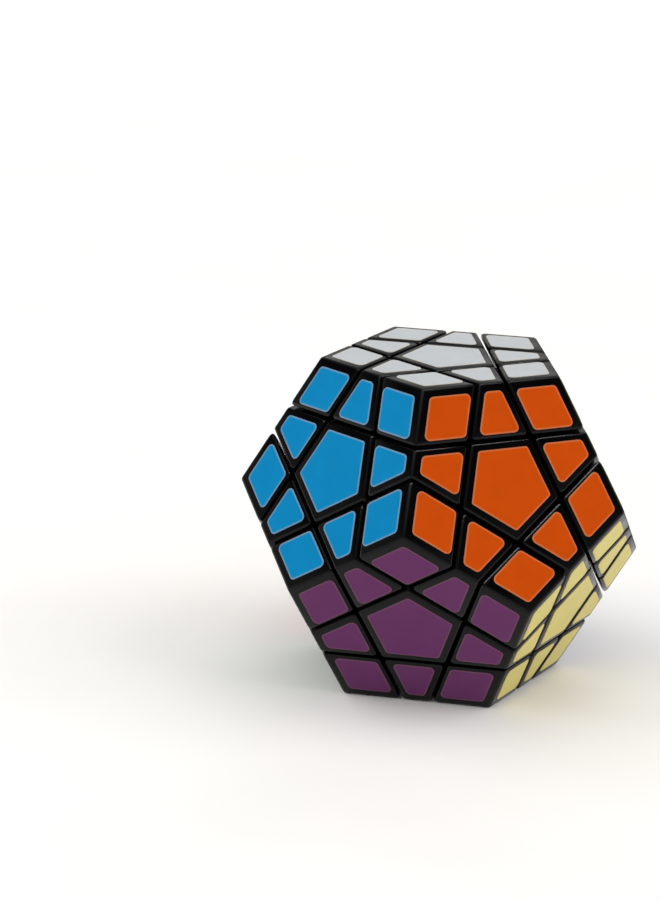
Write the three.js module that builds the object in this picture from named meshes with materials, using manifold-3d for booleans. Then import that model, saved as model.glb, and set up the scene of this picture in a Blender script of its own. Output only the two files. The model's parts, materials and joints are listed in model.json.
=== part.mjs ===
// Dodecahedron twisty puzzle: twelve face layers that each turn about their own axis.
// Millimetres, +Z up. The puzzle stands on its white face, with the origin under its centre,
// and its purple face looks towards -Y.
import * as THREE from 'three';
import { mergeVertices } from 'three/addons/utils/BufferGeometryUtils.js';
import { ConvexGeometry } from 'three/addons/geometries/ConvexGeometry.js';
import Module from 'manifold-3d';

// Driving dimensions
const FACE_DISTANCE = 34;             // puzzle centre to each outer face, measured over the stickers
const CUT_RATIO = 0.6856;             // puzzle centre to a layer's cut plane, as a share of FACE_DISTANCE
const CLEARANCE = 0.4;                // free gap between neighbouring pieces
const OUTER_EDGE_FLAT = 0.25;         // depth taken off the sharp outer edges of the dodecahedron
const NECK_ANGLE = 44;                // half-angle of the cone a layer turns on, above the feet
const FOOT_ANGLE = 52;                // half-angle of the wider cone that the feet turn on
const FOOT_TOP = 22.5;                // distance from the puzzle centre to the top of the feet
const FOOT_BOTTOM = 18;               // distance from the puzzle centre to the pieces' flat inner ends
const CONE_START = 16;                // distance at which the foot cone starts, below every piece
const LAYER_FACETS = 30;              // facets round each turning surface, a multiple of five
const CUTTER_REACH = 70;              // how far the cutting solids run, well outside the puzzle

// The screwed joint inside each centre piece
const WELL_RADIUS = 2.75;
const WELL_FLOOR = 20.2;              // top of the floor that the spring presses on
const WELL_TOP = 31.2;                // underside of the cap
const SCREW_HOLE_RADIUS = 1.5;
const SCREW_RADIUS = 1.15;
const HEAD_RADIUS = 2.35;
const HEAD_BOTTOM = 25.6;
const HEAD_TOP = 27.2;
const SPRING_RADIUS = 2.1;            // plain sleeve in the place of the spring, held by the head
const SPRING_END_GAP = 0.35;          // sleeve to well floor
const CORE_RADIUS = 13.5;
const POST_RADIUS = 3.4;
const POST_TOP = 17.2;
const ROUND_SEGMENTS = 8;

// Bridges that hold the joined corner and its three edges together
const BRIDGE_SIZE = 3;

const OVERSHOOT = 1;                  // how far a cut or a buried end runs past the surface it crosses
const FLATNESS = 0.002;               // a point this close to a straight edge or flat face is spare
const MERGE_DISTANCE = 1e-4;          // points closer together than this are one point
const COSINE_SLACK = 0.01;            // how far two equal cosines may differ by rounding

// Finishes
const BLACK = 0x151516;
const BLACK_ROUGHNESS = 0.32;
const CORE_GREY = 0x8c8f92;
const CORE_ROUGHNESS = 0.5;

const CUT_DISTANCE = CUT_RATIO * FACE_DISTANCE;
const NEIGHBOUR_COS = 1 / Math.sqrt(5);       // cosine between the axes of two neighbouring faces
const EDGE_AXIS_COS = Math.cos(Math.acos(NEIGHBOUR_COS) / 2);
const UP = new THREE.Vector3(0, 0, 1);

const wasm = await Module();
wasm.setup();

// Solids

// Joins shared corners and hands a closed geometry to the boolean library.
function solid(geometry, matrix) {
  const bare = geometry.index ? geometry.toNonIndexed() : geometry.clone();
  bare.deleteAttribute('normal');
  bare.deleteAttribute('uv');
  if (matrix) bare.applyMatrix4(matrix);
  const merged = mergeVertices(bare, MERGE_DISTANCE);
  return new wasm.Manifold(new wasm.Mesh({
    numProp: 3,
    vertProperties: new Float32Array(merged.attributes.position.array),
    triVerts: withoutEmptyTriangles(merged.index.array),
  }));
}

// Drops the triangles that merging has closed up, such as those at the ends of a lathe's axis.
function withoutEmptyTriangles(index) {
  const kept = [];
  for (let i = 0; i < index.length; i += 3) {
    const [a, b, c] = [index[i], index[i + 1], index[i + 2]];
    if (a !== b && b !== c && c !== a) kept.push(a, b, c);
  }
  return new Uint32Array(kept);
}

// A cut leaves spare points along straight edges and across flat faces; they are taken out here.
function geometryOf(manifold) {
  const mesh = manifold.asOriginal().simplify(FLATNESS).getMesh();
  const geometry = new THREE.BufferGeometry();
  geometry.setAttribute('position', new THREE.BufferAttribute(mesh.vertProperties, 3));
  geometry.setIndex(new THREE.BufferAttribute(mesh.triVerts, 1));
  return geometry;
}

// Turns a +Z solid so that +Z lies along axis and +X lies on the side of towards.
function aim(axis, towards) {
  const x = towards.clone().addScaledVector(axis, -towards.dot(axis)).normalize();
  const y = axis.clone().cross(x);
  return new THREE.Matrix4().makeBasis(x, y, axis);
}

// A solid of revolution about +Z from [radius, z] points that start and end on the axis, going up.
function revolved(points, segments) {
  const profile = points.map(([radius, z]) => new THREE.Vector2(radius, z));
  return new THREE.LatheGeometry(profile, segments).rotateX(Math.PI / 2);
}

function roundBar(radius, from, to) {
  return revolved([[0, from], [radius, from], [radius, to], [0, to]], ROUND_SEGMENTS);
}

// Faces of the dodecahedron

function tilted(azimuth, height) {
  const angle = THREE.MathUtils.degToRad(azimuth);
  const out = Math.sqrt(1 - NEIGHBOUR_COS ** 2);
  return new THREE.Vector3(out * Math.cos(angle), out * Math.sin(angle), height * NEIGHBOUR_COS);
}

const faces = { grey: UP.clone(), white: UP.clone().negate() };
['sky', 'orange', 'green', 'pink', 'cream'].forEach((name, i) => {
  faces[name] = tilted(-126 + 72 * i, 1);
});
['purple', 'yellow', 'navy', 'red', 'pine'].forEach((name, i) => {
  faces[name] = tilted(-90 + 72 * i, -1);
});

const areNeighbours = (a, b) => Math.abs(faces[a].dot(faces[b]) - NEIGHBOUR_COS) < COSINE_SLACK;
const neighboursOf = (a) => Object.keys(faces).filter((b) => areNeighbours(a, b));
const sum = (names) => names.reduce((total, name) => total.add(faces[name]), new THREE.Vector3());
const middle = (names) => sum(names).normalize();

// The point where three faces' planes, at the given distances, meet.
function meeting(names, distances) {
  const [a, b, c] = names.map((name) => faces[name]);
  const point = b.clone().cross(c).multiplyScalar(distances[0]);
  point.addScaledVector(c.clone().cross(a), distances[1]);
  point.addScaledVector(a.clone().cross(b), distances[2]);
  return point.divideScalar(a.dot(b.clone().cross(c)));
}

const edges = [];
const corners = [];
const names = Object.keys(faces);
names.forEach((a, i) => names.slice(i + 1).filter((b) => areNeighbours(a, b)).forEach((b) => {
  edges.push([a, b]);
  names.slice(names.indexOf(b) + 1)
    .filter((c) => areNeighbours(a, c) && areNeighbours(b, c))
    .forEach((c) => corners.push([a, b, c]));
}));

// The whole outside: a dodecahedron whose edges are flattened by a thirty-sided solid.
function outside() {
  const distances = [FACE_DISTANCE, FACE_DISTANCE, FACE_DISTANCE];
  const cornerPoints = corners.map((three) => meeting(three, distances));
  const edgeDistance = FACE_DISTANCE / EDGE_AXIS_COS - OUTER_EDGE_FLAT;
  const edgeToCornerCos = middle(corners[0]).dot(middle(corners[0].slice(0, 2)));
  const flattener = [
    ...names.map((name) => faces[name].clone().multiplyScalar(edgeDistance / EDGE_AXIS_COS)),
    ...corners.map((three) => middle(three).multiplyScalar(edgeDistance / edgeToCornerCos)),
  ];
  return solid(new ConvexGeometry(cornerPoints)).intersect(solid(new ConvexGeometry(flattener)));
}

// A point on a cone about +Z, moved square to the cone by grow.
function onCone(angle, distance, grow) {
  const a = THREE.MathUtils.degToRad(angle);
  return [distance * Math.sin(a) + grow * Math.cos(a), distance * Math.cos(a) - grow * Math.sin(a)];
}

// The space that a face's layer sweeps as it turns: flat outside, a neck cone, and wider feet
// inside. grow moves its surface outwards, or inwards when it is negative.
function layerSpace(name, grow) {
  const cut = CUT_DISTANCE - grow;
  const neck = THREE.MathUtils.degToRad(NECK_ANGLE);
  const start = onCone(FOOT_ANGLE, CONE_START, grow);
  const profile = [
    [0, start[1]],
    start,
    onCone(FOOT_ANGLE, FOOT_TOP + grow, grow),
    onCone(NECK_ANGLE, FOOT_TOP + grow, grow),
    [cut * Math.tan(neck) + grow / Math.cos(neck), cut],
    [CUTTER_REACH, cut],
    [CUTTER_REACH, CUTTER_REACH],
    [0, CUTTER_REACH],
  ];
  return solid(revolved(profile, LAYER_FACETS), aim(faces[name], faces[neighboursOf(name)[0]]));
}

const whole = outside();
const insideOf = {};
const aroundOf = {};
names.forEach((name) => {
  insideOf[name] = layerSpace(name, -CLEARANCE / 2);
  aroundOf[name] = layerSpace(name, CLEARANCE / 2);
});

// Pieces

// A piece's own frame: +Z out through the middle of its faces, +X on the side of a fixed face.
function frameOf(own) {
  return aim(middle(own), faces[own.length > 1 ? own[0] : neighboursOf(own[0])[0]]);
}

// A block that takes away everything closer to the puzzle centre than a piece's flat inner end.
function innerEnd(own) {
  const block = new THREE.BoxGeometry(2 * CUTTER_REACH, 2 * CUTTER_REACH, CUTTER_REACH);
  block.translate(0, 0, FOOT_BOTTOM - CUTTER_REACH / 2);
  return solid(block, frameOf(own));
}

// A piece is what its own layers share, less the layers next to it.
function pieceSolid(own, others) {
  let piece = whole;
  own.forEach((name) => { piece = piece.intersect(insideOf[name]); });
  others.forEach((name) => { piece = piece.subtract(aroundOf[name]); });
  return piece.subtract(innerEnd(own));
}

// Every corner, edge and centre is the same moulding, so one of each is made and then turned
// into its places.
function moulding(own, manifold) {
  return geometryOf(manifold).applyMatrix4(frameOf(own).invert());
}

function cornerMoulding(three) {
  return moulding(three, pieceSolid(three, []));
}

function edgeMoulding([a, b]) {
  const ends = neighboursOf(a).filter((name) => areNeighbours(name, b));
  return moulding([a, b], pieceSolid([a, b], ends));
}

// A centre is hollow round its screw: a well under the cap, and a floor with the screw hole.
function centreMoulding(name) {
  const turn = frameOf([name]);
  const well = solid(roundBar(WELL_RADIUS, WELL_FLOOR, WELL_TOP), turn);
  const hole = solid(roundBar(SCREW_HOLE_RADIUS, FOOT_BOTTOM - OVERSHOOT, WELL_FLOOR + OVERSHOOT), turn);
  return moulding([name], pieceSolid([name], neighboursOf(name)).subtract(well).subtract(hole));
}

// The core is a ball with a post for each centre, and a screw with its spring sleeve in each post.
function coreGeometry() {
  const post = roundBar(POST_RADIUS, CORE_RADIUS / 2, POST_TOP);
  const screw = revolved([
    [0, POST_TOP - OVERSHOOT],
    [SCREW_RADIUS, POST_TOP - OVERSHOOT],
    [SCREW_RADIUS, WELL_FLOOR + SPRING_END_GAP],
    [SPRING_RADIUS, WELL_FLOOR + SPRING_END_GAP],
    [SPRING_RADIUS, HEAD_BOTTOM],
    [HEAD_RADIUS, HEAD_BOTTOM],
    [HEAD_RADIUS, HEAD_TOP],
    [0, HEAD_TOP],
  ], ROUND_SEGMENTS);
  let core = solid(new THREE.IcosahedronGeometry(CORE_RADIUS, 1));
  names.forEach((name) => {
    core = core.add(solid(post, frameOf([name]))).add(solid(screw, frameOf([name])));
  });
  return geometryOf(core);
}

// One corner with its three edges as a single part, bridged across the gaps between them.
function joinedGeometry(three, corner, edge) {
  let joined = solid(corner, frameOf(three));
  three.forEach((away) => {
    const pair = three.filter((name) => name !== away);
    const reach = (CUT_DISTANCE + FACE_DISTANCE) / 2;
    const place = meeting([away, ...pair], [CUT_DISTANCE, reach, reach]);
    const bridge = new THREE.BoxGeometry(BRIDGE_SIZE, BRIDGE_SIZE, BRIDGE_SIZE);
    const turn = aim(faces[away], faces[pair[0]]).setPosition(place);
    joined = joined.add(solid(edge, frameOf(pair))).add(solid(bridge, turn));
  });
  return geometryOf(joined);
}

// The assembly

const plastic = (color, roughness) => new THREE.MeshStandardMaterial({ color, roughness, metalness: 0 });

const puzzle = new THREE.Group();
puzzle.position.set(0, 0, FACE_DISTANCE);

function addPart(name, geometry, material, matrix) {
  const mesh = new THREE.Mesh(geometry, material);
  mesh.name = name;
  if (matrix) mesh.applyMatrix4(matrix);
  puzzle.add(mesh);
}

function addCopies(kind, geometry, places) {
  places.forEach((own) => {
    addPart(`${kind}_${own.join('_')}`, geometry, plastic(BLACK, BLACK_ROUGHNESS), frameOf(own));
  });
}

// This corner never leaves the resting layers, so it is one part with its three edges.
const joinedCorner = ['white', 'red', 'pine'];
const isSeparate = (own) => own.some((name) => !joinedCorner.includes(name));

const corner = cornerMoulding(corners[0]);
const edge = edgeMoulding(edges[0]);

addPart('core', coreGeometry(), plastic(CORE_GREY, CORE_ROUGHNESS));
addCopies('centre', centreMoulding(names[0]), names.map((name) => [name]));
addCopies('edge', edge, edges.filter(isSeparate));
addCopies('corner', corner, corners.filter(isSeparate));
addPart(
  `corner_and_edges_${joinedCorner.join('_')}`,
  joinedGeometry(joinedCorner, corner, edge),
  plastic(BLACK, BLACK_ROUGHNESS),
);

export default puzzle;
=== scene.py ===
"""Looks for the dodecahedron twisty puzzle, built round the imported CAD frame.

Meshes are made in millimetres about the puzzle's centre, as one master for each kind of piece,
and are then scaled to metres and turned into place beside the CAD node that they stand for.
"""
import itertools
import json
import math

import bmesh
import bpy
from mathutils import Matrix, Vector


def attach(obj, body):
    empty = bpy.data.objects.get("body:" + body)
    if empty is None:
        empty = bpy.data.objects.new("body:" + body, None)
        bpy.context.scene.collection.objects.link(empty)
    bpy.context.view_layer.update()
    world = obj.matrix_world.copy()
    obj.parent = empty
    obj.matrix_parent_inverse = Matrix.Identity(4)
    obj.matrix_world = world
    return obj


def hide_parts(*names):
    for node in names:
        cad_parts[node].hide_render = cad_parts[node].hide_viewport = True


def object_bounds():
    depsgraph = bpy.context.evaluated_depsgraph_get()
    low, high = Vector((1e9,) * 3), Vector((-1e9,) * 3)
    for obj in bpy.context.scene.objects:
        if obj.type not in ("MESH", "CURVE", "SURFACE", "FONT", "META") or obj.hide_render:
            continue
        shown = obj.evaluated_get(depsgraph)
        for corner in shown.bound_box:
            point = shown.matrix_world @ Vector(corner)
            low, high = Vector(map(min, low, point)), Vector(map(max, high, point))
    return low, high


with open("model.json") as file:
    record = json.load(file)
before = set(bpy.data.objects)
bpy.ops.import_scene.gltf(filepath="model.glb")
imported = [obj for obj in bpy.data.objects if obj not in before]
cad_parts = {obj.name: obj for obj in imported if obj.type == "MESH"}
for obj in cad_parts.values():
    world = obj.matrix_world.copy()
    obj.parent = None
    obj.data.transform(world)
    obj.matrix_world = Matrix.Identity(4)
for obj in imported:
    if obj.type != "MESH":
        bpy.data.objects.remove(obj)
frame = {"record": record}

cad_low, cad_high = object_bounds()

# ---------------------------------------------------------------- driving values

MM = 0.001
NEAR = 1e-4                                   # lengths closer than this count as the same
PARALLEL = 1e-6                               # planes or lines with a smaller determinant don't meet
FACE = (cad_high.z - cad_low.z) / 2 / MM      # puzzle centre to each face, over the stickers
CENTRE = Vector((0, 0, cad_low.z + FACE * MM))
CUT = 0.6856 * FACE                           # puzzle centre to a layer's cut plane
GAP = 0.4                                     # free gap between neighbouring pieces
NECK_ANGLE, FOOT_ANGLE = 44, 52               # half-angles of the cones that a layer turns on
CONE_START, FOOT_TOP = 16.0, 22.5             # from the puzzle's centre, along a cone's side
FOOT_BOTTOM = 18.0                            # puzzle centre to the flat inner end of a stem
REACH = 70.0                                  # beyond the whole puzzle
INNER_REACH = 32.4                            # outer limit of the hidden stems, inside the blocks
INNER_SLACK = 0.03                            # keeps stem surfaces just inside the blocks
BLOCK_BOTTOM = 27.0                           # how deep a centre's block goes before its stem
TURNED_FACETS = 120

STICKER_THICKNESS = 0.12
STICKER_SINK = 0.01                           # how far a sticker reaches into the plastic
STICKER_BEVEL, STICKER_BAND = 0.04, 0.38      # its cut bevel, and the band that holds its rim
SHELL = FACE - STICKER_THICKNESS              # puzzle centre to the plastic
STICKER_TO_EDGE = 1.8                         # sticker border beside an outer edge
STICKER_TO_CUT = 1.4                          # sticker border beside a cut line
CENTRE_STICKER_TO_CUT = 1.6
CENTRE_STICKER_CORNER = 0.6                   # corner radii
OTHER_STICKER_CORNER = 1.05
LEAST_STICKER_CORNER = 0.1

OUTER_ROUND = 0.9                             # edge radii of the mouldings
GROOVE_ROUND = 0.75
CROSSING_ROUND = 0.9
INNER_ROUND = 0.25
ROUND_STEPS = 4
SATIN_REACH, SATIN_FADE = 0.45, 0.2           # depth below an outer edge where satin ends, and its fade

# Hidden hardware; bottoms, tops and floors are heights from the puzzle's centre
SEAM = 0.02                                   # gap that keeps touching pieces apart
WELL_RADIUS, WELL_FLOOR = 2.75, 20.2
CAP_THICKNESS = 2.0
PLUG_SLACK, PLUG_WALL, PLUG_DEPTH = 0.05, 0.7, 2.4
PLUG_ROOT, PLUG_OVERLAP = 1.0, 0.3            # how far the hollow, and then the plug, reach into the cap
PLUG_LEAD = (0.2, 0.3)                        # width and height of the bevels on its end
CORE_RADIUS, POST_RADIUS, POST_TOP = 13.5, 3.4, 17.2
POST_FLARE, POST_CHAMFER = 1.6, 0.4
FLARE_TOP = CORE_RADIUS + 1.2
PILOT_BOTTOM = 8.0
SCREW_HOLE_RADIUS, SCREW_RADIUS = 1.5, 1.15
SCREW_HOLE_BOTTOM = FOOT_BOTTOM - 1           # past the inner end, so that the hole is open there
SCREW_TIP, TIP_TOP, TIP_SHARE = 9.0, 9.4, 0.5
THREAD_BOTTOM, THREAD_PITCH = 10.0, 0.7
NECK_TOP = POST_TOP + 0.2                     # where the thread has grown to the plain shank
ROOT_SHARE, SHANK_SHARE = 0.78, 0.95          # radii as shares of the screw's
HEAD_BOTTOM, HEAD_TOP, HEAD_RADIUS, HEAD_ROUND = 25.6, 27.2, 2.35, 0.7
RECESS_LENGTH, RECESS_WIDTH, RECESS_DEPTH = 2.6, 0.5, 0.7
WASHER_THICKNESS, WASHER_OUTER, WASHER_INNER = 0.4, 2.45, 1.35
WIRE_RADIUS, COIL_RADIUS = 0.28, 1.9
CLOSED_TURNS, LIVE_TURNS = 1.0, 4.5           # closed ones at each end of a spring, open ones between

# View of the puzzle: degrees, multiples of FACE, and millimetres for the lens
VIEW_AZIMUTH, VIEW_ELEVATION, VIEW_ROLL = 12.03, 16.9, 1.4
VIEW_DISTANCE = 19.6
AIM = Vector((-0.695, -0.038, 0.355))         # what the lens points at, from the puzzle's centre
LENS, SENSOR = 128.0, 36.0

# Room light as world strength: a pale wall low down, a dark band above it and a bright ceiling.
# Heights are sines of the elevation.
WALL_LIGHT, BAND_LIGHT, CEILING_LIGHT = 0.35, 0.05, 1.0
WALL_TOP, BAND_START = 0.30, 0.44
BAND_END, CEILING_START = 0.80, 1.0
ROOM_TINT = (1.0, 0.995, 0.98, 1)

# Sticker colours as displayed, 0 to 255
STICKER_COLOURS = {
    "grey": (180, 184, 187), "white": (232, 232, 230),
    "sky": (7, 125, 178), "orange": (190, 70, 0), "green": (102, 168, 50),
    "pink": (212, 100, 140), "cream": (228, 216, 180),
    "purple": (103, 54, 99), "yellow": (214, 201, 121), "navy": (22, 48, 122),
    "red": (168, 20, 24), "pine": (12, 90, 52),
}

# A sticker's cut rim has a painted highlight: its colour mixed with tan. The linear tan is multiplied by
# the sticker's own lightness, which counts up to a limit, so dark stickers get a lighter rim and pale
# ones a slightly darker, tan one.
RIM_HIGHLIGHT_TAN, RIM_MIX, LIGHTNESS_LIMIT = (3.0, 2.25, 1.2), 0.27, 0.2
LIGHTNESS_SHARES = (0.21, 0.72, 0.07)
RIM_EDGE = 0.4                                # value of the rim attribute where the rim's colour is full

SATIN_ROUGHNESS = 0.24                        # what satin adds to the plastic's roughness

# ---------------------------------------------------------------- faces and pieces

COS = 1 / math.sqrt(5)                        # between the axes of neighbouring faces
SIN = 2 / math.sqrt(5)


def tilted(azimuth, side):
    """The axis of a face beside the top one, side 1, or the bottom one, side -1."""
    angle = math.radians(azimuth)
    return Vector((SIN * math.cos(angle), SIN * math.sin(angle), side * COS))


FACES = {"grey": Vector((0, 0, 1)), "white": Vector((0, 0, -1))}
for step, name in enumerate(("sky", "orange", "green", "pink", "cream")):
    FACES[name] = tilted(-126 + 72 * step, 1)
for step, name in enumerate(("purple", "yellow", "navy", "red", "pine")):
    FACES[name] = tilted(-90 + 72 * step, -1)


def neighbours(face):
    return [other for other in FACES if abs(FACES[face].dot(FACES[other]) - COS) < NEAR]


def middle(own):
    """The direction of the piece that has these faces."""
    return sum((FACES[face] for face in own), Vector()).normalized()


def aim(direction, towards):
    """Turns +Z to direction, with +X on the side of towards."""
    x = (towards - direction * towards.dot(direction)).normalized()
    return Matrix((x, direction.cross(x), direction)).transposed().to_4x4()


def place(own):
    """A piece's own frame, about the puzzle's centre."""
    side = own[0] if len(own) > 1 else neighbours(own[0])[0]
    return aim(middle(own), FACES[side])


def sticker_place(own, face):
    """A sticker's own frame: +Z out of its face, +X from the face's centre to the piece."""
    towards = middle(own) if len(own) > 1 else FACES[neighbours(face)[0]]
    return aim(FACES[face], towards)


def ends_of(own):
    """The faces at the two ends of an edge piece."""
    return [face for face in neighbours(own[0]) if face in neighbours(own[1])]


# ---------------------------------------------------------------- mesh tools

def scene_object(name, mesh):
    obj = bpy.data.objects.new(name, mesh)
    bpy.context.scene.collection.objects.link(obj)
    return obj


def mesh_from(bm, name="working"):
    mesh = bpy.data.meshes.new(name)
    bm.normal_update()
    bm.to_mesh(mesh)
    bm.free()
    return mesh


def evaluated(mesh, add_modifiers):
    """The mesh after the modifiers that add_modifiers puts on it."""
    obj = scene_object("working", mesh)
    add_modifiers(obj)
    graph = bpy.context.evaluated_depsgraph_get()
    result = bpy.data.meshes.new_from_object(obj.evaluated_get(graph))
    bpy.data.objects.remove(obj)
    return result


def combine(mesh, operation, other):
    """Boolean of two closed meshes; operation is INTERSECT, DIFFERENCE or UNION."""
    tool = scene_object("tool", other)

    def add(obj):
        modifier = obj.modifiers.new("boolean", "BOOLEAN")
        modifier.operation = operation
        modifier.solver = "MANIFOLD"
        modifier.object = tool

    result = evaluated(mesh, add)
    bpy.data.objects.remove(tool)
    return result


def turned(mesh, matrix):
    copy = mesh.copy()
    copy.transform(matrix)
    return copy


def lathe(profile, facets=TURNED_FACETS):
    """A solid of revolution about +Z; its (radius, z) points run from axis to axis or close up."""
    bm = bmesh.new()
    rings = []
    closed = profile[0] == profile[-1]
    for radius, z in profile[1:] if closed else profile:
        if radius < NEAR:
            rings.append([bm.verts.new((0, 0, z))] * facets)
            continue
        turns = (2 * math.pi * step / facets for step in range(facets))
        rings.append([bm.verts.new((radius * math.cos(t), radius * math.sin(t), z)) for t in turns])
    if closed:
        rings.append(rings[0])
    for low, high in zip(rings, rings[1:]):
        for step in range(facets):
            after = (step + 1) % facets
            corners = [low[step], low[after], high[after], high[step]]
            bm.faces.new(list(dict.fromkeys(corners)))
    bmesh.ops.recalc_face_normals(bm, faces=bm.faces)
    return mesh_from(bm)


def arc(centre, radius, start, stop, steps):
    """Points of a circular arc; angles in degrees."""
    angles = (math.radians(start + (stop - start) * step / steps) for step in range(steps + 1))
    return [(centre[0] + radius * math.cos(a), centre[1] + radius * math.sin(a)) for a in angles]


def bar(radius, low, high, facets=48):
    """A round bar along +Z."""
    return lathe([(0, low), (radius, low), (radius, high), (0, high)], facets)


# Edge radii, by the kinds of the two planes that meet
ROUNDS = {
    ("outer", "outer"): OUTER_ROUND,
    ("cut", "outer"): GROOVE_ROUND,
    ("cut", "cut"): CROSSING_ROUND,
}


def rounded_block(planes):
    """A convex solid inside (normal, distance, kind) planes, its edges rounded by their kind."""
    points = []
    for three in itertools.combinations(planes, 3):
        rows = Matrix([plane[0] for plane in three])
        if abs(rows.determinant()) < PARALLEL:
            continue
        point = rows.inverted() @ Vector([plane[1] for plane in three])
        inside = all(normal.dot(point) <= distance + NEAR for normal, distance, _ in planes)
        if inside and all((point - other).length > NEAR for other in points):
            points.append(point)
    bm = bmesh.new()
    verts = [bm.verts.new(point) for point in points]
    kinds = []
    for normal, distance, kind in planes:
        own = [v for v in verts if abs(normal.dot(v.co) - distance) < NEAR]
        hub = sum((v.co for v in own), Vector()) / len(own)
        turn = aim(normal, own[0].co - hub).inverted()
        own.sort(key=lambda v: math.atan2(*(turn @ (v.co - hub)).yx))
        bm.faces.new(own)
        kinds.append(kind)
    bm.faces.index_update()
    bm.normal_update()
    weights = bm.edges.layers.float.new("bevel_weight_edge")
    for edge in bm.edges:
        first, second = edge.link_faces
        pair = tuple(sorted((kinds[first.index], kinds[second.index])))
        angle = first.normal.angle(second.normal)
        edge[weights] = ROUNDS.get(pair, INNER_ROUND) * math.tan(angle / 2)

    # The modifier's width is 1, so the weight of each edge is the width of its bevel
    def add(obj):
        bevel = obj.modifiers.new("bevel", "BEVEL")
        bevel.limit_method = "WEIGHT"
        bevel.width = 1.0
        bevel.segments = ROUND_STEPS

    return evaluated(mesh_from(bm), add)


def finished(mesh, name, sharp=32):
    """Scales a master to metres and shades it smooth, with edges over sharp degrees kept."""
    mesh.name = name
    mesh.materials.clear()
    mesh.transform(Matrix.Scale(MM, 4))
    mesh.shade_smooth()
    mesh.set_sharp_from_angle(angle=math.radians(sharp))
    return mesh


# ---------------------------------------------------------------- the mouldings

def on_cone(angle, distance, grow):
    """A profile point at distance along a cone's side, moved out from it by grow."""
    a = math.radians(angle)
    return (
        distance * math.sin(a) + grow * math.cos(a),
        distance * math.cos(a) - grow * math.sin(a),
    )


def layer_space(face, grow):
    """The space that a face's layer sweeps, as in the CAD, grown by grow."""
    cut = CUT - grow
    neck = math.radians(NECK_ANGLE)
    start = on_cone(FOOT_ANGLE, CONE_START, grow)
    profile = [
        (0, start[1]),
        start,
        on_cone(FOOT_ANGLE, FOOT_TOP + grow, grow),
        on_cone(NECK_ANGLE, FOOT_TOP + grow, grow),
        (cut * math.tan(neck) + grow / math.cos(neck), cut),
        (REACH, cut),
        (REACH, REACH),
        (0, REACH),
    ]
    return turned(lathe(profile), aim(FACES[face], FACES[neighbours(face)[0]]))


def stem(own, others):
    """The hidden inner part of a piece: stem and foot, with a flat inner end."""
    start = math.degrees(math.asin(FOOT_BOTTOM / INNER_REACH))
    dome = arc((0, 0), INNER_REACH, start, stop=90, steps=12)
    profile = [(0, FOOT_BOTTOM)] + dome[:-1] + [(0, INNER_REACH)]
    mesh = turned(lathe(profile), place(own))
    for face in own:
        mesh = combine(mesh, "INTERSECT", layer_space(face, -GAP / 2 - INNER_SLACK))
    for face in others:
        mesh = combine(mesh, "DIFFERENCE", layer_space(face, GAP / 2 + INNER_SLACK))
    return mesh


def clear_of(block, others):
    """Cuts the cones of the layers beside a piece out of its block."""
    for face in others:
        block = combine(block, "DIFFERENCE", layer_space(face, GAP / 2 - INNER_SLACK))
    return block


def outer_planes(own):
    """The planes of a piece's outer sides."""
    return [(FACES[face], SHELL, "outer") for face in own]


def layer_planes(own, others):
    """The cut planes of the layers that a piece is in, then of those beside it."""
    inside = [(-FACES[face], -(CUT + GAP / 2), "cut") for face in own]
    return inside + [(FACES[face], CUT - GAP / 2, "cut") for face in others]


def home(mesh, own):
    """The mesh in its piece's own frame, its satin attribute 1 at the puzzle's outer edges."""
    satin = mesh.attributes.new("satin", "FLOAT", "POINT")
    if len(own) > 1:
        for vert, value in zip(mesh.vertices, satin.data):
            second = sorted(FACES[face].dot(vert.co) for face in own)[-2]
            value.value = min(max((second - SHELL + SATIN_REACH) / SATIN_FADE, 0), 1)
    return turned(mesh, place(own).inverted())


def corner_master(own):
    """A corner's block, with the stem that hooks under its neighbours."""
    block = rounded_block(outer_planes(own) + layer_planes(own, []))
    return finished(home(combine(block, "UNION", stem(own, [])), own), "corner_moulding")


def edge_master(own):
    """An edge's block, with the stem that hooks under its neighbours."""
    ends = ends_of(own)
    block = clear_of(rounded_block(outer_planes(own) + layer_planes(own, ends)), ends)
    return finished(home(combine(block, "UNION", stem(own, ends)), own), "edge_moulding")


def plate_planes(own, low, high, top):
    """A centre's pentagonal plate between two heights, its upper side of the kind top."""
    sides = [(FACES[face], CUT - GAP / 2, "cut") for face in neighbours(own[0])]
    return sides + [(FACES[own[0]], high, top), (-FACES[own[0]], -low, "seam")]


def centre_master(own):
    """The centre's body, open at the top for its screw."""
    seat = SHELL - CAP_THICKNESS
    others = neighbours(own[0])
    plate = rounded_block(plate_planes(own, BLOCK_BOTTOM, seat, "seam"))
    mesh = combine(clear_of(plate, others), "UNION", stem(own, others))
    for radius, bottom in ((WELL_RADIUS, WELL_FLOOR), (SCREW_HOLE_RADIUS, SCREW_HOLE_BOTTOM)):
        mesh = combine(mesh, "DIFFERENCE", turned(bar(radius, bottom, REACH), place(own)))
    return finished(home(mesh, own), "centre_moulding")


def cap_master(own):
    """The pentagonal cap, with a hollow plug that presses into the well."""
    seat = SHELL - CAP_THICKNESS
    plate = rounded_block(plate_planes(own, seat + SEAM, SHELL, "outer"))
    outer = WELL_RADIUS - PLUG_SLACK
    inner = outer - PLUG_WALL
    low, root = seat - PLUG_DEPTH, seat + PLUG_ROOT
    width, height = PLUG_LEAD
    profile = [
        (0, root), (inner, root), (inner, low + height), (inner + width, low),
        (outer - width, low), (outer, low + height), (outer, root + PLUG_OVERLAP),
        (0, root + PLUG_OVERLAP),
    ]
    plug = turned(lathe(profile, facets=48), place(own))
    return finished(home(combine(plate, "UNION", plug), own), "cap_moulding")


# ---------------------------------------------------------------- stickers

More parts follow.
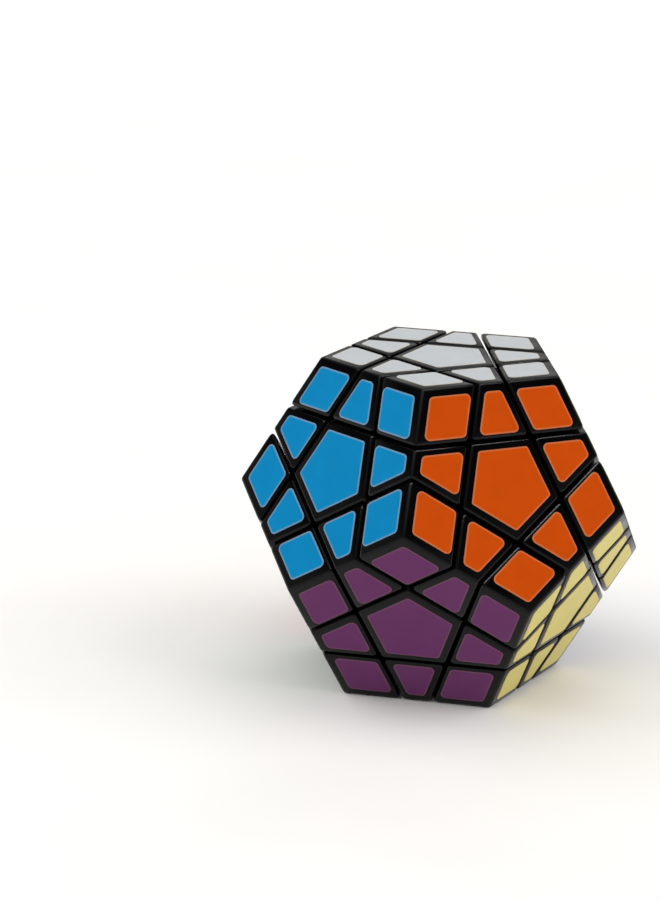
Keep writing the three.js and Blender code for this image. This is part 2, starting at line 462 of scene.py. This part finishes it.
def outline(own, face, inset, radius, steps=6):
    """A sticker's rounded outline in its own frame, moved in from its edges by inset."""
    turn = sticker_place(own, face)
    x_axis, y_axis = turn.col[0].to_3d(), turn.col[1].to_3d()
    border = STICKER_TO_CUT if len(own) > 1 else CENTRE_STICKER_TO_CUT
    edge_line = (FACE - COS * FACE) / SIN
    cut_line = (CUT - COS * FACE) / SIN
    lines = []
    for other in neighbours(face):
        across = Vector((FACES[other].dot(x_axis), FACES[other].dot(y_axis))) / SIN
        if other in own:
            lines.append((across, edge_line - STICKER_TO_EDGE - inset))
            lines.append((-across, -cut_line - border - inset))
        else:
            lines.append((across, cut_line - border - inset))
    corners = []
    for (first, a), (second, b) in itertools.combinations(lines, 2):
        rows = Matrix((first, second))
        if abs(rows.determinant()) < PARALLEL:
            continue
        point = rows.inverted() @ Vector((a, b))
        if all(normal.dot(point) <= limit + NEAR for normal, limit in lines):
            corners.append(point)
    hub = sum(corners, Vector((0, 0))) / len(corners)
    # The order starts between two corners, half a radian before +X, so every inset has the same one
    corners.sort(key=lambda p: (math.atan2(p.y - hub.y, p.x - hub.x) + 0.5) % math.tau)
    points = []
    for index, corner in enumerate(corners):
        back = (corners[index - 1] - corner).normalized()
        ahead = (corners[(index + 1) % len(corners)] - corner).normalized()
        half = back.angle(ahead) / 2
        round_hub = corner + (back + ahead).normalized() * radius / math.sin(half)
        start = corner + back * radius / math.tan(half) - round_hub
        sweep = math.pi - 2 * half
        for step in range(steps + 1):
            turn_by = Matrix.Rotation(sweep * step / steps, 2)
            points.append(round_hub + turn_by @ start)
    return points


def sticker_master(own, name, radius):
    """A thin vinyl label; its rim attribute is 1 at the cut edge and 0 inside."""
    face = own[0]
    bm = bmesh.new()
    rim = bm.verts.layers.float.new("rim")
    levels = [
        (0, SHELL - STICKER_SINK, 1),
        (0, FACE - STICKER_BEVEL, 1),
        (STICKER_BEVEL, FACE, 1),
        (STICKER_BAND, FACE, 0),
    ]
    rings = []
    for inset, height, value in levels:
        ring = []
        for point in outline(own, face, inset, max(radius - inset, LEAST_STICKER_CORNER)):
            vert = bm.verts.new((point.x, point.y, height))
            vert[rim] = value
            ring.append(vert)
        rings.append(ring)
    for low, high in zip(rings, rings[1:]):
        for step in range(len(low)):
            after = (step + 1) % len(low)
            bm.faces.new((low[step], low[after], high[after], high[step]))
    bm.faces.new(rings[-1])
    bm.faces.new(list(reversed(rings[0])))
    return finished(mesh_from(bm), name, sharp=25)


# ---------------------------------------------------------------- hidden hardware

def core_master():
    """The core: a ball with twelve posts on flared roots, each with a screw pilot hole."""
    ball = arc((0, 0), CORE_RADIUS, start=-85, stop=85, steps=34)
    core = lathe([(0, -CORE_RADIUS)] + ball + [(0, CORE_RADIUS)], facets=72)
    foot = POST_RADIUS + POST_FLARE
    profile = [(0, 0), (foot, 0)]
    profile += arc((foot, FLARE_TOP), POST_FLARE, start=270, stop=180, steps=6)
    profile += [(POST_RADIUS, POST_TOP - POST_CHAMFER), (POST_RADIUS - POST_CHAMFER, POST_TOP)]
    post = lathe(profile + [(0, POST_TOP)], facets=40)
    for face in FACES:
        core = combine(core, "UNION", turned(post, place((face,))))
    pilot = bar(SCREW_RADIUS, PILOT_BOTTOM, REACH, facets=24)
    for face in FACES:
        core = combine(core, "DIFFERENCE", turned(pilot, place((face,))))
    return finished(core, "core_moulding")


def screw_master():
    """A pan-head screw with a cross recess and a threaded end in the post."""
    root, shank = SCREW_RADIUS * ROOT_SHARE, SCREW_RADIUS * SHANK_SHARE
    profile = [(0, SCREW_TIP), (SCREW_RADIUS * TIP_SHARE, TIP_TOP)]
    for step in range(int((POST_TOP - THREAD_BOTTOM) / THREAD_PITCH)):
        z = THREAD_BOTTOM + step * THREAD_PITCH
        profile += [(root, z), (SCREW_RADIUS - SEAM, z + THREAD_PITCH / 2)]
    profile += [(root, POST_TOP), (shank, NECK_TOP), (shank, HEAD_BOTTOM)]
    hub = (HEAD_RADIUS - HEAD_ROUND, HEAD_TOP - HEAD_ROUND)
    profile += [(HEAD_RADIUS, HEAD_BOTTOM), (HEAD_RADIUS, hub[1])]
    profile += arc(hub, HEAD_ROUND, start=15, stop=90, steps=6) + [(0, HEAD_TOP)]
    screw = lathe(profile, facets=40)
    for turn in (0, math.pi / 2):
        slot = bmesh.new()
        bmesh.ops.create_cube(slot, size=1)
        shape = Matrix.Diagonal((RECESS_LENGTH, RECESS_WIDTH, 2 * RECESS_DEPTH, 1))
        move = Matrix.Translation((0, 0, HEAD_TOP)) @ Matrix.Rotation(turn, 4, "Z")
        bmesh.ops.transform(slot, matrix=move @ shape, verts=slot.verts)
        screw = combine(screw, "DIFFERENCE", mesh_from(slot))
    return finished(screw, "screw_shape")


def washer_master():
    """A flat washer under the screw's head."""
    high = HEAD_BOTTOM - SEAM
    low = high - WASHER_THICKNESS
    inner, outer = WASHER_INNER, WASHER_OUTER
    profile = [(inner, low), (outer, low), (outer, high), (inner, high), (inner, low)]
    return finished(lathe(profile, facets=48), "washer_shape")


def spring_master():
    """A compression spring with closed ends, between the well's floor and the washer."""
    low = WELL_FLOOR + SEAM + WIRE_RADIUS
    high = HEAD_BOTTOM - 2 * SEAM - WASHER_THICKNESS - WIRE_RADIUS
    open_rise = high - low - 4 * WIRE_RADIUS * CLOSED_TURNS
    total = LIVE_TURNS + 2 * CLOSED_TURNS
    facets, steps_per_turn = 10, 28
    count = int(total * steps_per_turn)
    bm = bmesh.new()
    rings = []
    for index in range(count + 1):
        turns = total * index / count
        live = min(max(turns - CLOSED_TURNS, 0), LIVE_TURNS)
        z = low + 2 * WIRE_RADIUS * (turns - live) + open_rise * live / LIVE_TURNS
        angle = 2 * math.pi * turns
        ring = []
        for step in range(facets):
            a = 2 * math.pi * step / facets
            radius = COIL_RADIUS + WIRE_RADIUS * math.cos(a)
            height = z + WIRE_RADIUS * math.sin(a)
            ring.append(bm.verts.new((radius * math.cos(angle), radius * math.sin(angle), height)))
        rings.append(ring)
    for first, second in zip(rings, rings[1:]):
        for step in range(facets):
            after = (step + 1) % facets
            bm.faces.new((first[step], first[after], second[after], second[step]))
    bm.faces.new(rings[0])
    bm.faces.new(list(reversed(rings[-1])))
    bmesh.ops.recalc_face_normals(bm, faces=bm.faces)
    return finished(mesh_from(bm), "spring_shape")


# ---------------------------------------------------------------- materials

def linear(colour):
    """Linear RGBA from displayed 0 to 255 values."""
    values = (channel / 255 for channel in colour)
    return [v / 12.92 if v <= 0.04045 else ((v + 0.055) / 1.055) ** 2.4 for v in values] + [1.0]


def scaled(colour, factor):
    """A lighter or darker colour."""
    return [min(1.0, channel * factor) for channel in colour[:3]] + [1.0]


class Nodes:
    """Short calls for building one material's node tree."""

    def __init__(self, name):
        self.material = bpy.data.materials.new(name)
        self.material.use_nodes = True
        self.tree = self.material.node_tree
        self.shader = self.tree.nodes["Principled BSDF"]
        self.position = self.add("ShaderNodeTexCoord").outputs["Object"]

    def add(self, kind, **values):
        node = self.tree.nodes.new(kind)
        for key, value in values.items():
            setattr(node, key, value)
        return node

    def link(self, source, target):
        self.tree.links.new(source, target)

    def set(self, **values):
        """Sets inputs of the shader to single values."""
        for key, value in values.items():
            self.shader.inputs[key.replace("_", " ")].default_value = value

    def feed(self, **sources):
        """Links node outputs to inputs of the shader."""
        for key, source in sources.items():
            self.link(source, self.shader.inputs[key.replace("_", " ")])

    def attribute(self, name):
        """A value that the mesh holds at each vertex."""
        return self.add("ShaderNodeAttribute", attribute_name=name).outputs["Fac"]

    def noise(self, size, detail=3.0):
        """Noise whose features are about size metres across."""
        node = self.add("ShaderNodeTexNoise")
        node.inputs["Scale"].default_value = 1 / size
        node.inputs["Detail"].default_value = detail
        self.link(self.position, node.inputs["Vector"])
        return node.outputs["Fac"]

    def spread(self, value, low, high, start=0.3, stop=0.7):
        """Maps value from start..stop to low..high."""
        node = self.add("ShaderNodeMapRange")
        for key, number in (("From Min", start), ("From Max", stop), ("To Min", low), ("To Max", high)):
            node.inputs[key].default_value = number
        self.link(value, node.inputs["Value"])
        return node.outputs["Result"]

    def mix(self, factor, first, second):
        """Mixes two colours, each a list or a node's output."""
        node = self.add("ShaderNodeMix", data_type="RGBA")
        self.link(factor, node.inputs["Factor"])
        for socket, colour in ((node.inputs[6], first), (node.inputs[7], second)):
            if isinstance(colour, list):
                socket.default_value = colour
            else:
                self.link(colour, socket)
        return node.outputs[2]

    def cloudy(self, pattern, dark, light):
        """A colour that drifts from dark to light with a pattern."""
        return self.mix(self.spread(pattern, 0, 1), dark, light)

    def grain(self, size, height):
        """Fine bumps on the surface; both lengths in metres."""
        node = self.add("ShaderNodeBump")
        node.inputs["Strength"].default_value = 1.0
        node.inputs["Distance"].default_value = height
        self.link(self.noise(size, 2), node.inputs["Height"])
        return node.outputs["Normal"]


def black_plastic():
    """Moulded black plastic: glossy, satin on the outer edges, with faint smudges and grain."""
    n = Nodes("black_plastic")
    smudges = n.noise(7 * MM, 4)
    roughness = n.add("ShaderNodeMath", operation="MULTIPLY_ADD")
    n.link(n.attribute("satin"), roughness.inputs[0])
    roughness.inputs[1].default_value = SATIN_ROUGHNESS
    n.link(n.spread(smudges, 0.15, 0.22), roughness.inputs[2])
    n.feed(
        Base_Color=n.cloudy(smudges, linear((2, 2, 3)), linear((4, 4, 5))),
        Roughness=roughness.outputs[0],
        Normal=n.grain(0.35 * MM, 0.003 * MM),
    )
    n.set(IOR=1.5, Specular_IOR_Level=0.18)
    return n.material


def grey_plastic():
    """The core's plain moulding plastic."""
    n = Nodes("core_plastic")
    cloud = n.noise(5 * MM)
    n.feed(
        Base_Color=n.cloudy(cloud, linear((132, 135, 138)), linear((148, 151, 154))),
        Roughness=n.spread(cloud, 0.42, 0.55),
        Normal=n.grain(0.4 * MM, 0.004 * MM),
    )
    return n.material


def steel(name, colour, roughness):
    """Steel with slightly uneven colour and polish."""
    n = Nodes(name)
    cloud = n.noise(1.5 * MM)
    n.feed(
        Base_Color=n.cloudy(cloud, scaled(colour, 0.8), colour),
        Roughness=n.spread(cloud, roughness - 0.06, roughness + 0.08),
    )
    n.set(Metallic=1.0)
    return n.material


def rim_highlight_colour(colour):
    """The painted highlight colour of a sticker's cut rim, tinted tan."""
    lightness = sum(c * share for c, share in zip(colour, LIGHTNESS_SHARES))
    level = min(lightness, LIGHTNESS_LIMIT)
    return [c + (tan * level - c) * RIM_MIX for c, tan in zip(colour, RIM_HIGHLIGHT_TAN)] + [1.0]


def sticker_vinyl(name):
    """Printed vinyl: a slightly cloudy colour, a painted highlight tinted tan on its cut rim and a soft
    sheen.
    """
    n = Nodes("sticker_" + name)
    colour = linear(STICKER_COLOURS[name])
    cloud = n.noise(4 * MM, 4)
    body = n.cloudy(cloud, scaled(colour, 0.96), scaled(colour, 1.03))
    # Mask for the painted highlight along the cut rim, full at RIM_EDGE
    rim = n.spread(n.attribute("rim"), 0, 1, start=0, stop=RIM_EDGE)
    n.feed(
        Base_Color=n.mix(rim, body, rim_highlight_colour(colour)),
        Roughness=n.spread(cloud, 0.28, 0.33),
        Normal=n.grain(0.5 * MM, 0.001 * MM),
    )
    n.set(IOR=1.47, Specular_IOR_Level=0.04)
    return n.material


def paper_white():
    """The plain pale floor."""
    n = Nodes("floor_paper")
    cloud = n.noise(60 * MM)
    n.feed(Base_Color=n.cloudy(cloud, linear((238, 236, 233)), linear((242, 240, 237))))
    n.set(Roughness=0.7)
    return n.material


# ---------------------------------------------------------------- camera, light and floor

def add_camera():
    """The camera, aimed with the view's angles and turned about its own axis by the roll."""
    azimuth, elevation, roll = (math.radians(a) for a in (VIEW_AZIMUTH, VIEW_ELEVATION, VIEW_ROLL))
    forward = Vector((
        -math.sin(azimuth) * math.cos(elevation),
        math.cos(azimuth) * math.cos(elevation),
        -math.sin(elevation),
    ))
    level = forward.cross(Vector((0, 0, 1))).normalized()
    right = Matrix.Rotation(-roll, 3, forward) @ level
    up = right.cross(forward)
    data = bpy.data.cameras.new("camera")
    data.lens = LENS
    data.sensor_fit = "AUTO"
    data.sensor_width = SENSOR
    data.clip_start = 0.05
    camera = scene_object("camera", data)
    turn = Matrix((right, up, -forward)).transposed().to_4x4()
    spot = CENTRE + (AIM - forward * VIEW_DISTANCE) * FACE * MM
    camera.matrix_world = Matrix.Translation(spot) @ turn
    bpy.context.scene.camera = camera


def add_light(name, spot, size, power, rays="all", target=(0, 0, 0)):
    """A soft rectangular light at spot, facing target; lengths are multiples of FACE.

    rays is all, diffuse for a light that reflections leave out, or gloss for one that only they show.
    """
    data = bpy.data.lights.new(name, "AREA")
    data.shape = "RECTANGLE"
    data.size, data.size_y = (length * FACE * MM for length in size)
    data.energy = power
    light = scene_object(name, data)
    light.location = CENTRE + Vector(spot) * FACE * MM
    light.rotation_euler = (Vector(spot) - Vector(target)).to_track_quat("Z", "Y").to_euler()
    light.visible_glossy = rays != "diffuse"
    light.visible_diffuse = rays != "gloss"


def add_room():
    """A pale room as the world, its light changing with height."""
    world = bpy.data.worlds.new("room")
    world.use_nodes = True
    tree = world.node_tree
    direction = tree.nodes.new("ShaderNodeTexCoord").outputs["Generated"]
    parts = tree.nodes.new("ShaderNodeSeparateXYZ")
    tree.links.new(direction, parts.inputs[0])

    def fade(start, stop, low, high):
        node = tree.nodes.new("ShaderNodeMapRange")
        node.interpolation_type = "SMOOTHSTEP"
        node.inputs["From Min"].default_value = start
        node.inputs["From Max"].default_value = stop
        node.inputs["To Min"].default_value = low
        node.inputs["To Max"].default_value = high
        tree.links.new(parts.outputs["Z"], node.inputs["Value"])
        return node.outputs["Result"]

    total = tree.nodes.new("ShaderNodeMath")
    tree.links.new(fade(WALL_TOP, BAND_START, WALL_LIGHT, BAND_LIGHT), total.inputs[0])
    tree.links.new(fade(BAND_END, CEILING_START, 0, CEILING_LIGHT - BAND_LIGHT), total.inputs[1])
    tree.links.new(total.outputs[0], tree.nodes["Background"].inputs["Strength"])
    tree.nodes["Background"].inputs["Color"].default_value = ROOM_TINT
    bpy.context.scene.world = world


def add_studio():
    """The room, a strip light for the highlights along the grooves, softboxes and fills."""
    add_room()
    add_light("strip_light", (2.5, -2, 16), (17.4, 0.9), 2.0, "gloss")
    add_light("front_softbox", (-3, -22, 24), (36, 24), 0.9)
    add_light("back_softbox", (-4, 26, 22), (30, 30), 1.8)
    add_light("front_fill", (-3, -24, 20), (44, 30), 4.2, "diffuse")
    add_light("left_fill", (-24, -2, 19), (30, 24), 6.4, "diffuse")
    add_light("right_fill", (24, -2, 19), (30, 24), 7.0, "diffuse")
    add_light("background_fill", (0, 34, 20), (60, 20), 8.0, "diffuse", (0, 34, 0))
    bpy.context.scene.view_settings.view_transform = "Standard"


def add_floor():
    """A plain floor under the puzzle."""
    bm = bmesh.new()
    bmesh.ops.create_grid(bm, x_segments=8, y_segments=8, size=3.0)
    floor = scene_object("floor", mesh_from(bm, "floor"))
    floor.location = (0, 0, cad_low.z)
    floor.data.materials.append(paper_white())


# ---------------------------------------------------------------- assembly

NODE_BODY = {
    node: body for body, nodes in frame["record"]["behaviour"]["bodies"].items() for node in nodes
}
TO_PUZZLE = Matrix.Translation(CENTRE)


def node_for(kind, own):
    """The CAD node that holds this piece, which may be one of several joined in it."""
    name = "_".join((kind,) + own)
    if name in NODE_BODY:
        return name
    joined = [node for node in NODE_BODY if node.startswith("corner_and_edges")]
    return joined[0]


def add_piece(name, master, matrix, look, node, replaces=True):
    """A copy of a master in its place, moving with node's body; look is (slot, material), and its slot
    is not used.
    """
    slot, material = look
    mesh = turned(master, TO_PUZZLE @ matrix)
    mesh.name = name
    mesh.materials.append(material)
    obj = scene_object(name, mesh)
    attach(obj, NODE_BODY[node])
    if replaces:
        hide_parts(node)


def main():
    add_camera()
    add_floor()
    add_studio()

    names = list(FACES)
    edges = [pair for pair in itertools.combinations(names, 2) if pair[1] in neighbours(pair[0])]
    corners = [
        three for three in itertools.combinations(names, 3)
        if all(b in neighbours(a) for a, b in itertools.combinations(three, 2))
    ]
    kinds = {"corner": corners, "edge": edges, "centre": [(name,) for name in names]}
    masters = {
        "corner": corner_master(corners[0]),
        "edge": edge_master(edges[0]),
        "centre": centre_master((names[0],)),
    }
    stickers = {
        "corner": sticker_master(corners[0], "corner_label", OTHER_STICKER_CORNER),
        "edge": sticker_master(edges[0], "edge_label", OTHER_STICKER_CORNER),
        "centre": sticker_master((names[0],), "centre_label", CENTRE_STICKER_CORNER),
    }
    cap = cap_master((names[0],))

    black = ("black_plastic", black_plastic())
    vinyl = {name: (f"sticker_{name}", sticker_vinyl(name)) for name in names}
    for kind, places in kinds.items():
        for own in places:
            label = "_".join(own)
            node = node_for(kind, own)
            add_piece(f"{kind}_piece_{label}", masters[kind], place(own), black, node)
            if kind == "centre":
                add_piece(f"cap_{label}", cap, place(own), black, node)
            for face in own:
                name = f"sticker_{face}_on_{kind}_{label}"
                add_piece(name, stickers[kind], sticker_place(own, face), vinyl[face], node, False)

    core_grey = ("core_plastic", grey_plastic())
    screw_steel = ("screw_steel", steel("zinc_plate", linear((188, 188, 190)), 0.3))
    spring_steel = ("spring_steel", steel("spring_wire", linear((176, 174, 170)), 0.26))
    hardware = {
        "screw": (screw_master(), screw_steel),
        "washer": (washer_master(), screw_steel),
        "spring": (spring_master(), spring_steel),
    }
    add_piece("core_moulding", core_master(), Matrix.Identity(4), core_grey, "core")
    for name in names:
        for kind, (master, material) in hardware.items():
            add_piece(f"{kind}_{name}", master, place((name,)), material, "core")


main()
